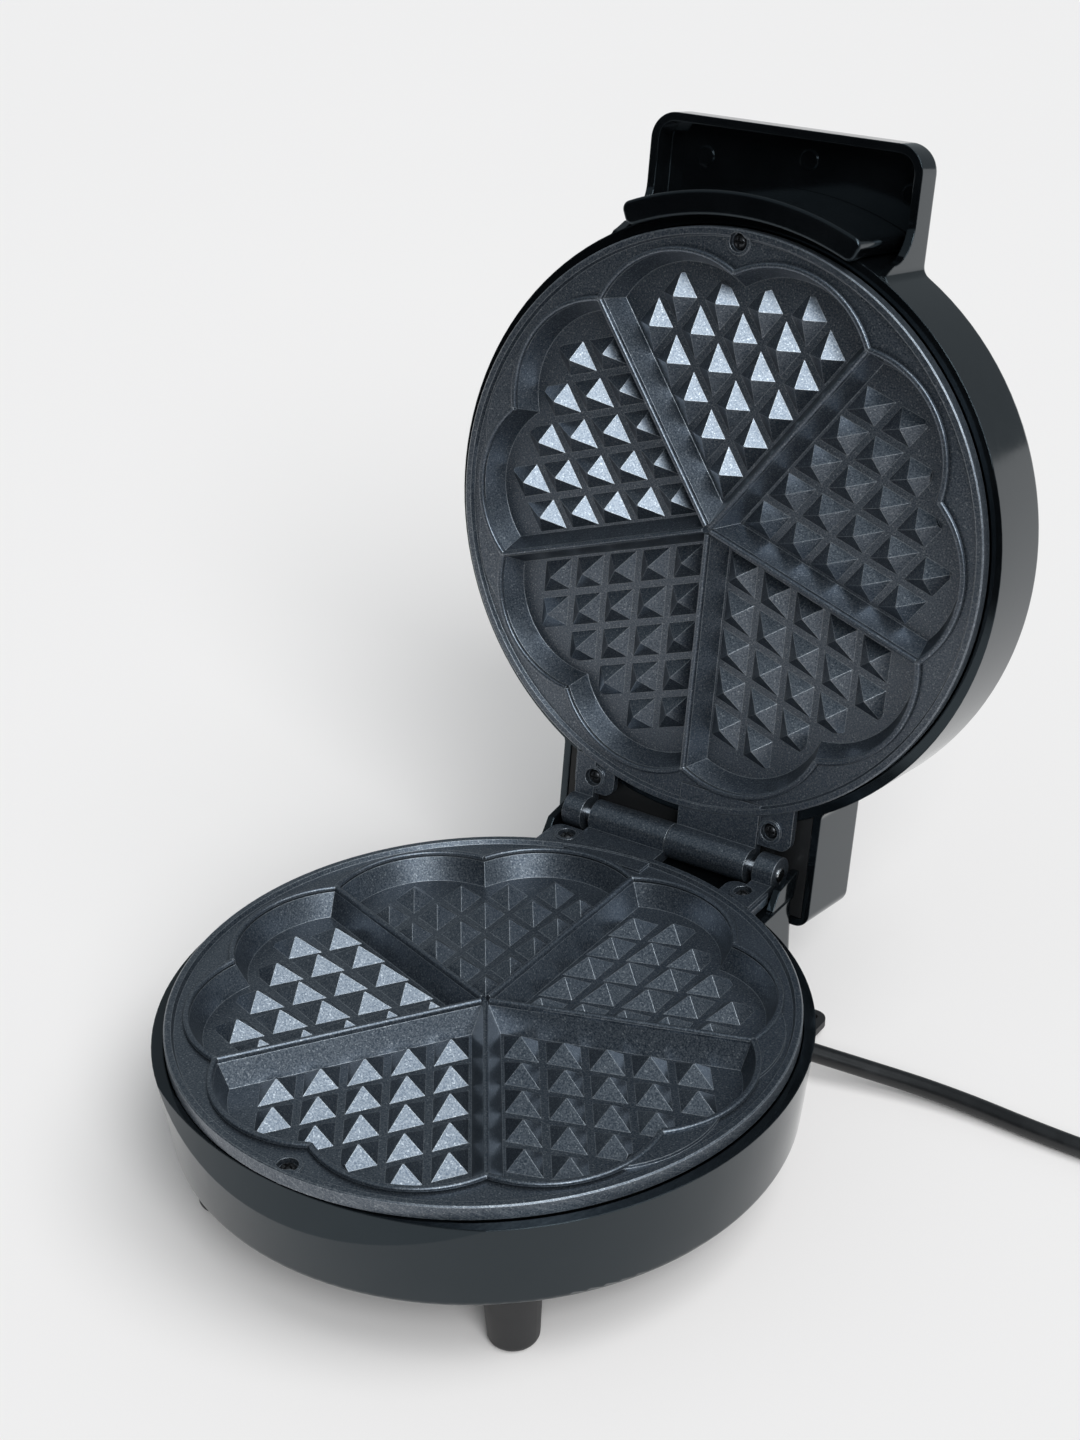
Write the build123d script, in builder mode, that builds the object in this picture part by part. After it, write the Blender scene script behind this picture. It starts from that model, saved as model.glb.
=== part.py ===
from build123d import *

import os
from math import atan, cos, degrees, pi, radians, sin, sqrt, tan

# A round waffle maker with five heart hollows, standing open with its lid up.
# Everything is drawn about the centre of the cooking plates, with the table at Z 0,
# the front at -Y and the lid shut. The lid's pieces are swung open as they are written.

# Hinge
HINGE_Y = 109.5
HINGE_Z = 59.0
OPEN_ANGLE = 99.65
KNUCKLE_R = 6.0
PIN_R = 2.5
PIN_CLEARANCE = 0.05
LONG_KNUCKLE = (-30.8, -0.15)
SHORT_KNUCKLE = (34.3, 41.8)

# The stored frame has its origin under the middle of the open object
FRAME_Y = 43.3

# Cooking plates
RIM_R = 97.0
RIM_Z = 58.0
RIM_BEAD = 3.0
LAND_Z = 56.5
SIDE_HEIGHT = 4.5
PLATE_BODY_R = 88.0
HEART_FLOOR_Z = 49.0
PLATE_UNDER_Z = 45.5

# Heart hollows, drawn with the heart's axis along +X and its point at the centre
HEARTS = 5
HALF_SECTOR = 180 / HEARTS
BAR_HALF_TOP = 1.0
WALL_RUN = 3.4
LOBE_X = 53.0
LOBE_Y = 17.3
LOBE_R = 34.0
BEAD_WIDTH = 3.0
BEAD_HEIGHT = 1.0
PYRAMID_FIRST = 11.0
PYRAMID_PITCH = 13.4
PYRAMID_SIDE = 10.9
PYRAMID_HEIGHT = 4.6
PYRAMID_TIP = 0.5
PYRAMID_EDGE_R = 27.0
PYRAMIDS_PER_ROW = (5, 5, 4, 3, 2)

# Shells
SHELL_R = 101.0
WALL = 2.8
RIM_INNER_R = 97.5
BASE_RIM_Z = 53.0
BASE_BOTTOM_R = 97.7
BASE_BOTTOM_Z = 22.5
BOTTOM_ROUNDING = 3.0
BASE_BOX_HALF = 46.7
BASE_BOX_Y = 112.4
BASE_BOX_TOP = 51.5
LID_RIM_Z = 2 * HINGE_Z - BASE_RIM_Z
LID_TOP_Z = 97.0
LID_TOP_ROUNDING = 3.5
LID_BOX_HALF = 51.0
LID_BOX_Y = 129.0
LID_BOX_Z = 66.0

# Finger recess in the front of the base: a steep cone about an axis behind the centre
RECESS_AXIS_Y = 26.0
RECESS_R = 123.0
RECESS_SLOPE = 2.8 / 11.5

# Handle and the curved lip inside it
HANDLE_HALF = 49.0
HANDLE_TIP = 127.3
HANDLE_CORNER = 9.0
HANDLE_UNDER_Z = 84.0
HANDLE_CEILING = 93.0
HANDLE_SWEEP = 12.0
LIP_R = (101.2, 108.6)
LIP_HALF = 43.6
LIP_BOTTOM = 59.3

# Screws
SCREW_SPOTS = ((0, -92.9), (-35.0, 96.7), (35.0, 96.7))
SCREW_HEAD_R = 2.7
SCREW_SEAT_Z = 55.2
BOSS_R = 3.7

# Feet
FOOT_TOP_R = 8.9
FOOT_R = 7.5
FRONT_FOOT = (54.4, -64.6)
REAR_FOOT = (37.0, 101.0)

# Heating rings
ELEMENT_R = 60.0
TUBE_R = 3.25
ELEMENT_Z = 43.7
ELEMENT_GAP = 40.0
CLAMP_R = 50.0
REFLECTOR_Z = 34.0

# Mains cord
CORD_R = 3.15
CORD_ROUTE = [
    (45.5, 84.1, 12.1),
    (78.0, 91.8, 7.8),
    (112.5, 96.6, 4.3),
    (151.0, 97.4, 3.3),
    (197.0, 97.8, 3.3),
    (239.7, 97.8, 3.3),
]
COIL_PITCH = 7.4
COIL_LAYER = 7.2
COIL_OUTER = 43.3
PLUG_Z = 18.6
PLUG_R = 18.5

os.makedirs("parts", exist_ok=True)


def ring_of(radius, count, start=90.0):
    """Points spread evenly on a circle about the centre."""
    angles = [radians(start + 360 * k / count) for k in range(count)]
    return [(radius * cos(a), radius * sin(a)) for a in angles]


# Cooking plate

half = radians(HALF_SECTOR)
bar_apex = BAR_HALF_TOP / sin(half)
wedge_far = 130.0
wedge = [
    (bar_apex, 0),
    (bar_apex + wedge_far * cos(half), -wedge_far * sin(half)),
    (bar_apex + wedge_far * cos(half), wedge_far * sin(half)),
]
point_run = 53.0
heart_point = [
    (bar_apex, 0),
    (bar_apex + point_run * cos(half), -point_run * sin(half)),
    (LOBE_X + 7, 0),
    (bar_apex + point_run * cos(half), point_run * sin(half)),
]
lobes = [(LOBE_X, LOBE_Y), (LOBE_X, -LOBE_Y)]
cavity_depth = LAND_Z - HEART_FLOOR_Z
wall_angle = degrees(atan(WALL_RUN / cavity_depth))

# One pyramid: a rhombus with its sides along the two bars, closing to a small tip
with BuildPart() as pyramid:
    with BuildSketch(Plane.XY.offset(HEART_FLOOR_Z)):
        reach = PYRAMID_SIDE
        Polygon(
            (reach * cos(half), 0),
            (0, reach * sin(half)),
            (-reach * cos(half), 0),
            (0, -reach * sin(half)),
        )
    with BuildSketch(Plane.XY.offset(HEART_FLOOR_Z + PYRAMID_HEIGHT)):
        reach = PYRAMID_TIP
        Polygon(
            (reach * cos(half), 0),
            (0, reach * sin(half)),
            (-reach * cos(half), 0),
            (0, -reach * sin(half)),
        )
    loft()

pyramid_spots = []
for row, count in enumerate(PYRAMIDS_PER_ROW):
    for column in range(count):
        along = PYRAMID_FIRST + PYRAMID_PITCH * row
        across = PYRAMID_FIRST + PYRAMID_PITCH * column
        pyramid_spots.append(((along + across) * cos(half), (along - across) * sin(half)))

with BuildPart() as pyramids:
    with Locations(*pyramid_spots):
        add(pyramid.part)
    with BuildSketch(Plane.XY.offset(HEART_FLOOR_Z)):
        with Locations(*lobes):
            Circle(PYRAMID_EDGE_R)
        Polygon(*heart_point)
    extrude(amount=PYRAMID_HEIGHT + 1, mode=Mode.INTERSECT)

# The space of one heart, with sloping walls and the pyramids left standing in it
with BuildPart() as heart_hollow:
    with BuildSketch(Plane.XY.offset(LAND_Z)):
        with Locations(*lobes):
            Circle(LOBE_R)
        Polygon(*heart_point)
        Polygon(*wedge, mode=Mode.INTERSECT)
    extrude(amount=-cavity_depth, taper=wall_angle)
    with BuildSketch(Plane.XY.offset(LAND_Z)):
        with Locations(*lobes):
            Circle(LOBE_R)
        Polygon(*heart_point)
        Polygon(*wedge, mode=Mode.INTERSECT)
    extrude(amount=BEAD_HEIGHT + 1)
    add(pyramids.part, mode=Mode.SUBTRACT)

clamp_posts = ring_of(CLAMP_R, 3)
side_bottom = RIM_Z - SIDE_HEIGHT

with BuildPart() as lower_plate:
    with BuildSketch(Plane.XZ):
        with BuildLine():
            Polyline(
                (0, PLATE_UNDER_Z),
                (PLATE_BODY_R, PLATE_UNDER_Z),
                (PLATE_BODY_R, side_bottom),
                (RIM_R, side_bottom),
                (RIM_R, RIM_Z - 0.4),
                (RIM_R - 0.4, RIM_Z),
                (RIM_R - RIM_BEAD + 0.7, RIM_Z),
                (RIM_R - RIM_BEAD, LAND_Z),
                (0, LAND_Z),
                close=True,
            )
        make_face()
    revolve(axis=Axis.Z)
    # Raised bead round the lobes of each heart
    with PolarLocations(0, HEARTS, start_angle=-90):
        with BuildSketch(Plane.XY.offset(LAND_Z)):
            with Locations(*lobes):
                Circle(LOBE_R + BEAD_WIDTH)
            Polygon(*wedge, mode=Mode.INTERSECT)
    extrude(amount=BEAD_HEIGHT)
    # Ears behind the rim, with the webs that carry the knuckles
    with BuildSketch(Plane.XY.offset(side_bottom)):
        with Locations((-35.0, 93.3), (35.0, 93.3)):
            RectangleRounded(16.0, 18.6, 4.0)
    extrude(amount=2.7)
    for low, high in (LONG_KNUCKLE, SHORT_KNUCKLE):
        middle = (low + high) / 2
        with BuildSketch(Plane.XY.offset(side_bottom)):
            with Locations((middle, (88.5 + HINGE_Y) / 2)):
                Rectangle(high - low, HINGE_Y - 88.5)
        extrude(amount=4.0)
        with BuildSketch(Plane.YZ.offset(low)):
            with Locations((HINGE_Y, HINGE_Z)):
                Circle(KNUCKLE_R)
        extrude(amount=high - low)
    # Raised rings round the screws
    with BuildSketch(Plane.XY.offset(side_bottom)):
        with Locations(*SCREW_SPOTS):
            Circle(4.2)
    extrude(amount=3.6)
    # Posts under the plate for the ring's clamp
    with BuildSketch(Plane.XY.offset(PLATE_UNDER_Z)):
        with Locations(*clamp_posts):
            Circle(3.0)
    extrude(amount=ELEMENT_Z - TUBE_R - PLATE_UNDER_Z)
    with PolarLocations(0, HEARTS, start_angle=-90):
        add(heart_hollow.part, mode=Mode.SUBTRACT)
    with Locations(*[Location((x, y, SCREW_SEAT_Z)) for x, y in SCREW_SPOTS]):
        Hole(1.7, depth=5)
    with BuildSketch(Plane.XY.offset(SCREW_SEAT_Z)):
        with Locations(*SCREW_SPOTS):
            Circle(3.1)
    extrude(amount=4, mode=Mode.SUBTRACT)
    with BuildSketch(Plane.XY.offset(ELEMENT_Z - TUBE_R - 1)):
        with Locations(*clamp_posts):
            Circle(1.55)
    extrude(amount=5, mode=Mode.SUBTRACT)
    # Groove for the heating ring
    with BuildSketch(Plane.XZ):
        with Locations((ELEMENT_R, ELEMENT_Z)):
            Circle(TUBE_R + 0.1)
    revolve(axis=Axis.Z, mode=Mode.SUBTRACT)
    # Bore for the hinge pin
    with BuildSketch(Plane.YZ.offset(-60)):
        with Locations((HINGE_Y, HINGE_Z)):
            Circle(PIN_R + PIN_CLEARANCE)
    extrude(amount=120, mode=Mode.SUBTRACT)

# Screws that hold the plate to its shell
with BuildPart() as plate_screw:
    with BuildSketch(Plane.XZ):
        with BuildLine():
            shank = Polyline((0, 1.7), (0, -13.5), (1.0, -12.5), (1.5, -11.5), (1.5, 0), (SCREW_HEAD_R, 0))
            dome = ThreePointArc(shank @ 1, (1.9, 1.25), (0, 1.7))
        make_face()
    revolve(axis=Axis.Z)
    with BuildSketch(Plane.XY.offset(0.7)):
        Rectangle(3.4, 0.8)
        Rectangle(0.8, 3.4)
    extrude(amount=2, mode=Mode.SUBTRACT)

with BuildPart() as lower_plate_screws:
    with Locations(*[Location((x, y, SCREW_SEAT_Z)) for x, y in SCREW_SPOTS]):
        add(plate_screw.part)

# One pin through all the knuckles
with BuildPart() as hinge_pin:
    with BuildSketch(Plane.YZ.offset(-39.5)):
        with Locations((HINGE_Y, HINGE_Z)):
            Circle(PIN_R)
    extrude(amount=39.5 + SHORT_KNUCKLE[1] + 0.6)
    chamfer(hinge_pin.edges().filter_by(GeomType.CIRCLE), 0.4)

# Heating ring: most of a turn of tube, with two legs down to the terminals
leg_angles = (90 - ELEMENT_GAP / 2, 90 + ELEMENT_GAP / 2)
leg_spots = [(ELEMENT_R * cos(radians(a)), ELEMENT_R * sin(radians(a))) for a in leg_angles]
LEG_BOTTOM = 30.5
TERMINAL_BOTTOM = 27.5

with BuildPart() as lower_element:
    ring_start = Plane.XZ.rotated((0, 0, leg_angles[1]))
    with BuildSketch(ring_start):
        with Locations((ELEMENT_R, ELEMENT_Z)):
            Circle(TUBE_R)
    revolve(axis=Axis.Z, revolution_arc=360 - ELEMENT_GAP)
    with Locations(*[Location((x, y, ELEMENT_Z)) for x, y in leg_spots]):
        Sphere(TUBE_R)
    with BuildSketch(Plane.XY.offset(LEG_BOTTOM)):
        with Locations(*leg_spots):
            Circle(TUBE_R)
    extrude(amount=ELEMENT_Z - LEG_BOTTOM)
    with BuildSketch(Plane.XY.offset(TERMINAL_BOTTOM)):
        with Locations(*leg_spots):
            Circle(1.2)
    extrude(amount=LEG_BOTTOM - TERMINAL_BOTTOM)

CLAMP_THICKNESS = 1.0
clamp_top = ELEMENT_Z - TUBE_R

with BuildPart() as lower_element_bracket:
    with BuildSketch(Plane.XY.offset(clamp_top - CLAMP_THICKNESS)):
        Circle(63.0)
        Circle(45.0, mode=Mode.SUBTRACT)
        with Locations((0, 60)):
            Rectangle(56, 40, mode=Mode.SUBTRACT)
        with Locations(*clamp_posts[1:], (-34.0, 40.0), (34.0, 40.0)):
            Circle(1.6, mode=Mode.SUBTRACT)
    extrude(amount=CLAMP_THICKNESS)

with BuildPart() as clamp_screw:
    with BuildSketch(Plane.XY.offset(clamp_top - CLAMP_THICKNESS - 2)):
        RegularPolygon(2.9, 6)
    extrude(amount=2)
    with BuildSketch(Plane.XY.offset(clamp_top - CLAMP_THICKNESS)):
        Circle(1.5)
    extrude(amount=4.5)

with BuildPart() as lower_clamp_screws:
    with Locations(*clamp_posts[1:]):
        add(clamp_screw.part)

# Bright dish between the ring and the plastic
SHEET = 0.8
DISH_R = 86.0

with BuildPart() as lower_reflector:
    with BuildSketch(Plane.XZ):
        with BuildLine():
            Polyline(
                (0, REFLECTOR_Z),
                (78, REFLECTOR_Z),
                (DISH_R, 45.2),
                (DISH_R - SHEET, 45.2),
                (77.5, REFLECTOR_Z + SHEET),
                (0, REFLECTOR_Z + SHEET),
                close=True,
            )
        make_face()
    revolve(axis=Axis.Z)
    with BuildSketch(Plane.XY.offset(REFLECTOR_Z)):
        with Locations(*leg_spots):
            Circle(5.5)
    extrude(amount=SHEET, mode=Mode.SUBTRACT)

# One-shot cut-out lying against the underside of the lower plate
with BuildPart() as thermal_fuse:
    fuse_z = PLATE_UNDER_Z - 2.1
    with BuildSketch(Plane.YZ.offset(-6)):
        with Locations((-22, fuse_z)):
            Circle(2.0)
    extrude(amount=12)
    with BuildSketch(Plane.YZ.offset(-14)):
        with Locations((-22, fuse_z)):
            Circle(0.6)
    extrude(amount=28)

# Base shell

wall_lean = degrees(atan((SHELL_R - BASE_BOTTOM_R) / (BASE_RIM_Z - BASE_BOTTOM_Z)))

with BuildPart() as base_hollow:
    with BuildSketch(Plane.XZ):
        with BuildLine():
            Polyline(
                (0, BASE_BOTTOM_Z + WALL),
                (BASE_BOTTOM_R - 3, BASE_BOTTOM_Z + WALL),
                (RIM_INNER_R, BASE_RIM_Z + 1),
                (0, BASE_RIM_Z + 1),
                close=True,
            )
        make_face()
    revolve(axis=Axis.Z)
    with BuildSketch(Plane.XY.offset(BASE_BOTTOM_Z)):
        with Locations((0, RECESS_AXIS_Y)):
            Circle(RECESS_R - WALL)
    extrude(amount=40, mode=Mode.INTERSECT)
    with BuildSketch(Plane.XY.offset(BASE_BOTTOM_Z + WALL)):
        with Locations((0, (60 + BASE_BOX_Y - WALL) / 2)):
            Rectangle(2 * (BASE_BOX_HALF - WALL), BASE_BOX_Y - WALL - 60)
    extrude(amount=BASE_BOX_TOP - 2.5 - BASE_BOTTOM_Z - WALL)

# Housing under the floor that the mains cord leaves from
ENTRY_X = (-12.0, 19.0)
ENTRY_Y = (64.5, 89.5)
ENTRY_Z = 6.8
ENTRY_WALL = 2.4
cord_start = Vector(*CORD_ROUTE[0])
cord_heading = (Vector(*CORD_ROUTE[1]) - cord_start).normalized()

with BuildPart() as base_shell:
    with BuildSketch(Plane.XY.offset(BASE_BOTTOM_Z)) as base_box_plan:
        with Locations((0, (60 + BASE_BOX_Y) / 2)):
            Rectangle(2 * BASE_BOX_HALF, BASE_BOX_Y - 60)
        fillet(base_box_plan.vertices().group_by(Axis.Y)[-1], 5)
    extrude(amount=BASE_BOX_TOP - BASE_BOTTOM_Z)
    fillet(base_shell.edges().group_by(Axis.Z)[0], BOTTOM_ROUNDING)
    with BuildSketch(Plane.XZ):
        with BuildLine():
            floor_line = Line((0, BASE_BOTTOM_Z), (BASE_BOTTOM_R - BOTTOM_ROUNDING, BASE_BOTTOM_Z))
            rounding = JernArc(floor_line @ 1, (1, 0), BOTTOM_ROUNDING, 90 - wall_lean)
            Polyline(rounding @ 1, (SHELL_R, BASE_RIM_Z), (0, BASE_RIM_Z), (0, BASE_BOTTOM_Z))
        make_face()
    revolve(axis=Axis.Z)
    # Finger recess
    with BuildSketch(Plane.XZ.offset(-RECESS_AXIS_Y)):
        with BuildLine():
            Polyline(
                (RECESS_R, BASE_RIM_Z + 1),
                (RECESS_R, BASE_RIM_Z),
                (RECESS_R + RECESS_SLOPE * 15, BASE_RIM_Z - 15),
                (RECESS_R + 20, BASE_RIM_Z - 15),
                (RECESS_R + 20, BASE_RIM_Z + 1),
                close=True,
            )
        make_face()
    revolve(axis=Axis((0, RECESS_AXIS_Y, 0), (0, 0, 1)), mode=Mode.SUBTRACT)
    add(base_hollow.part, mode=Mode.SUBTRACT)
    # Brackets beside the hinge
    for side in (-1, 1):
        with BuildSketch(Plane.YZ.offset(side * 45.0)):
            with BuildLine():
                Polyline(
                    (97.4, BASE_BOX_TOP - 1),
                    (97.4, 52.4),
                    (101.9, 57.9),
                    (113.0, 59.6),
                    (115.0, 59.2),
                    (BASE_BOX_Y - 1, BASE_BOX_TOP - 1),
                    close=True,
                )
            make_face()
        extrude(amount=1.25, both=True)
    # Screw bosses, standing clear of the floor's rounding
    with BuildSketch(Plane.XY.offset(BASE_BOTTOM_Z + 1)):
        with Locations(*SCREW_SPOTS):
            Circle(BOSS_R)
    extrude(amount=side_bottom - 0.1 - BASE_BOTTOM_Z - 1)
    # Cord housing below the floor
    with BuildSketch(Plane.XY.offset(ENTRY_Z)):
        with Locations(((ENTRY_X[0] + ENTRY_X[1]) / 2, (ENTRY_Y[0] + ENTRY_Y[1]) / 2)):
            Rectangle(ENTRY_X[1] - ENTRY_X[0], ENTRY_Y[1] - ENTRY_Y[0])
    extrude(amount=BASE_BOTTOM_Z + 1 - ENTRY_Z)
    with BuildSketch(Plane.XY.offset(ENTRY_Z + ENTRY_WALL)):
        with Locations(((ENTRY_X[0] + ENTRY_X[1]) / 2, (ENTRY_Y[0] + ENTRY_Y[1]) / 2)):
            Rectangle(
                ENTRY_X[1] - ENTRY_X[0] - 2 * ENTRY_WALL,
                ENTRY_Y[1] - ENTRY_Y[0] - 2 * ENTRY_WALL,
            )
    extrude(amount=BASE_BOTTOM_Z + WALL - ENTRY_Z - ENTRY_WALL, mode=Mode.SUBTRACT)
    with BuildSketch(Plane(origin=cord_start - cord_heading * 25, z_dir=-cord_heading)):
        Circle(5.7)
    extrude(amount=8, mode=Mode.SUBTRACT)
    with BuildSketch(Plane.XY.offset(side_bottom - 16)):
        with Locations(*SCREW_SPOTS):
            Circle(1.55)
    extrude(amount=20, mode=Mode.SUBTRACT)

# Feet
with BuildPart() as foot:
    Cone(FOOT_R, FOOT_TOP_R, BASE_BOTTOM_Z, align=(Align.CENTER, Align.CENTER, Align.MIN))
    fillet(foot.edges().group_by(Axis.Z)[0], 2.5)

with BuildPart() as front_feet:
    with Locations(FRONT_FOOT, (-FRONT_FOOT[0], FRONT_FOOT[1])):
        add(foot.part)

# Each rear foot has a flange low down that keeps the wound-up cord in place
with BuildPart() as rear_feet:
    with Locations(REAR_FOOT, (-REAR_FOOT[0], REAR_FOOT[1])):
        add(foot.part)
    for side in (-1, 1):
        with BuildSketch(Plane.XY.offset(3.0)):
            with Locations((side * 47.0, 104.0)):
                RectangleRounded(26.0, 24.0, 5.0)
            with Locations((side * 55.3, 112.0)):
                Circle(1.6, mode=Mode.SUBTRACT)
        extrude(amount=2.5)

# Inside the base: terminals, cord clamp and leads
BLOCK = (-28.0, 84.0)
floor_top = BASE_BOTTOM_Z + WALL

with BuildPart() as terminal_block:
    with BuildSketch(Plane.XY.offset(floor_top)):
        with Locations(BLOCK):
            Rectangle(24, 14)
    extrude(amount=4)
    with BuildSketch(Plane.XY.offset(floor_top)):
        with Locations(BLOCK):
            with GridLocations(8, 0, 3, 1):
                Rectangle(6.6, 12)
    extrude(amount=7.5)
    with BuildSketch(Plane.XY.offset(floor_top + 4.5)):
        with Locations(BLOCK):
            with GridLocations(8, 7, 3, 2):
                Circle(1.5)
    extrude(amount=4, mode=Mode.SUBTRACT)

with BuildPart() as cord_clamp:
    with BuildSketch(Plane.XY.offset(floor_top)):
        with Locations((27.0, 77.0)):
            RectangleRounded(9, 26, 2)
    extrude(amount=5)
    with BuildSketch(Plane.YZ.offset(20)):
        with Locations((77.0, floor_top)):
            Circle(3.4)
    extrude(amount=14, mode=Mode.SUBTRACT)


def start_plane(points):
    """The plane square to a route's first run, at its first point."""
    return Plane(origin=points[0], z_dir=Vector(*points[1]) - Vector(*points[0]))


def lead(points, bend=4.0):
    """One insulated wire along a route of straight runs with rounded corners."""
    with BuildPart() as wire:
        with BuildLine() as route:
            FilletPolyline(*points, radius=bend)
        with BuildSketch(start_plane(points)):
            Circle(1.1)
        sweep()
    return wire.part


lead_z = TERMINAL_BOTTOM + 1.1
base_leads = [
    lead([(-20, 91.3, 29), (-20, 100, 29), (-20, 100, 44), (-14, 107, 44)], 3.5),
    lead([(-28, 76.7, 29), (-28, 68, 29), (-21.8, 61, 29)], 3.0),
    lead([(-36, 76.7, 29), (-36, 60, 29), (-10, 46, 29), (14, 50, 29), (19.2, 55, 29)], 5.0),
]
with BuildPart() as base_wiring:
    for wire in base_leads:
        add(wire)

# Strain relief: a flanged root inside the housing, then a ribbed taper outside
RELIEF_LENGTH = 27.5
ROOT_LENGTH = 7.5
with BuildPart() as strain_relief:
    with BuildSketch(Plane.XZ):
        with BuildLine():
            taper_line = Polyline(
                (0, 0),
                (3.9, 0),
                (5.6, -RELIEF_LENGTH),
                (5.6, -RELIEF_LENGTH - ROOT_LENGTH + 2.4),
                (6.8, -RELIEF_LENGTH - ROOT_LENGTH + 2.4),
                (6.8, -RELIEF_LENGTH - ROOT_LENGTH),
                (0, -RELIEF_LENGTH - ROOT_LENGTH),
                close=True,
            )
        make_face()
    revolve(axis=Axis.Z)
    for k in range(5):
        depth = -4.5 - 4.6 * k
        rib_r = 3.9 + 1.7 * -depth / RELIEF_LENGTH
        with BuildSketch(Plane.XY.offset(depth)):
            Circle(rib_r + 1)
            Circle(rib_r - 0.8, mode=Mode.SUBTRACT)
        extrude(amount=-1.6, mode=Mode.SUBTRACT)
relief_plane = Plane(origin=cord_start, z_dir=cord_heading)
strain_relief.part = strain_relief.part.moved(relief_plane.location)

# Lid

with BuildPart() as lid_shell:
    with BuildSketch(Plane.XY.offset(LID_BOX_Z)) as lid_plan:
        Circle(SHELL_R)
        with Locations((0, -(HANDLE_TIP + 60) / 2)):
            Rectangle(2 * HANDLE_HALF, HANDLE_TIP - 60)
        with Locations((0, (LID_BOX_Y + 60) / 2)):
            Rectangle(2 * LID_BOX_HALF, LID_BOX_Y - 60)
        fillet(lid_plan.vertices().group_by(Axis.Y)[0], HANDLE_CORNER)
        fillet(lid_plan.vertices().group_by(Axis.Y)[-1], 5)
        fillet(lid_plan.vertices().filter_by_position(Axis.Y, -89, -88), 4)
        fillet(lid_plan.vertices().filter_by_position(Axis.Y, 86, 88), 4)
    extrude(amount=LID_TOP_Z - LID_BOX_Z)
    fillet(lid_shell.faces().sort_by(Axis.Z)[-1].edges(), LID_TOP_ROUNDING)
    # The handle's underside sweeps down to the rim where it meets the round wall
    with BuildSketch(Plane.YZ.offset(-60)):
        with BuildLine():
            under = Line((-140, HANDLE_UNDER_Z), (-92 - HANDLE_SWEEP, HANDLE_UNDER_Z))
            bend = JernArc(under @ 1, (1, 0), HANDLE_SWEEP, -90)
            Polyline(bend @ 1, (-88.3, LID_RIM_Z - 1), (-140, LID_RIM_Z - 1), (-140, HANDLE_UNDER_Z))
        make_face()
    extrude(amount=120, mode=Mode.SUBTRACT)
    with BuildSketch(Plane.XY.offset(LID_RIM_Z)):
        Circle(SHELL_R)
    extrude(amount=HANDLE_UNDER_Z + 2 - LID_RIM_Z)
    with BuildSketch(Plane.XY.offset(LID_RIM_Z)):
        Circle(RIM_INNER_R)
    extrude(amount=LID_TOP_Z - WALL - LID_RIM_Z, mode=Mode.SUBTRACT)
    # Hollow of the handle, open downwards
    with BuildSketch(Plane.XY.offset(LID_RIM_Z)) as grip_plan:
        with Locations((0, -(HANDLE_TIP - WALL + 60) / 2)):
            Rectangle(2 * (HANDLE_HALF - WALL), HANDLE_TIP - WALL - 60)
        fillet(grip_plan.vertices().group_by(Axis.Y)[0], HANDLE_CORNER - WALL)
        Circle(SHELL_R, mode=Mode.SUBTRACT)
    extrude(amount=HANDLE_CEILING - LID_RIM_Z, mode=Mode.SUBTRACT)
    with BuildSketch(Plane.XY.offset(HANDLE_CEILING)):
        with Locations((-33, -114), (5, -117.5), (42, -111.5)):
            Circle(3.2)
    extrude(amount=-0.3)
    # Hollow of the rear box
    with BuildSketch(Plane.XY.offset(LID_RIM_Z)):
        with Locations((0, (LID_BOX_Y - WALL + 60) / 2)):
            Rectangle(2 * (LID_BOX_HALF - WALL), LID_BOX_Y - WALL - 60)
        Circle(SHELL_R, mode=Mode.SUBTRACT)
    extrude(amount=LID_TOP_Z - WALL - LID_RIM_Z, mode=Mode.SUBTRACT)
    with Locations((0, 100, 86)):
        Box(14, 12, 10, mode=Mode.SUBTRACT)
    # Screw bosses, lamp posts and the lamps' holes
    with BuildSketch(Plane.XY.offset(LID_TOP_Z - 1)):
        with Locations(*SCREW_SPOTS):
            Circle(BOSS_R)
    extrude(amount=-(LID_TOP_Z - 1 - (2 * HINGE_Z - side_bottom) - 0.1))
    with BuildSketch(Plane.XY.offset(LID_TOP_Z - 1)):
        with Locations((-25, 119), (25, 119)):
            Circle(3.2)
    extrude(amount=-(LID_TOP_Z - 1 - 68.3))
    with BuildSketch(Plane.XY.offset(LID_TOP_Z - 1)):
        with Locations((-20, -74), (20, -74)):
            Circle(2.5)
    extrude(amount=-(LID_TOP_Z - 1 - 88.3))
    with BuildSketch(Plane.XY.offset(LID_TOP_Z - WALL)):
        with Locations((-10, -74), (10, -74)):
            Circle(4.1)
    extrude(amount=WALL, mode=Mode.SUBTRACT)
    with BuildSketch(Plane.XY.offset(LID_RIM_Z - 2)):
        with Locations(*SCREW_SPOTS):
            Circle(1.55)
    extrude(amount=18, mode=Mode.SUBTRACT)
    with BuildSketch(Plane.XY.offset(68)):
        with Locations((-25, 119), (25, 119)):
            Circle(1.35)
    extrude(amount=11, mode=Mode.SUBTRACT)

# The curved lip inside the handle: a bar bent round the rim, hollow from its hidden end
LIP_CORNER = 2.8
LIP_WALL = 1.8
lip_turn = degrees(atan(LIP_HALF / sqrt(LIP_R[1] ** 2 - LIP_HALF**2)))


def lip_plan(inner, outer, turn, corner, height):
    """The lip's outline seen from above, between two radii and rounded at its corners."""
    reach = 2 * outer
    with BuildSketch(Plane.XY.offset(height)) as plan:
        Circle(outer)
        Circle(inner, mode=Mode.SUBTRACT)
        Polygon(
            (0, 0),
            (-reach * sin(radians(turn)), -reach * cos(radians(turn))),
            (reach * sin(radians(turn)), -reach * cos(radians(turn))),
            mode=Mode.INTERSECT,
        )
        fillet(plan.vertices(), corner)
    return plan.sketch


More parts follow.
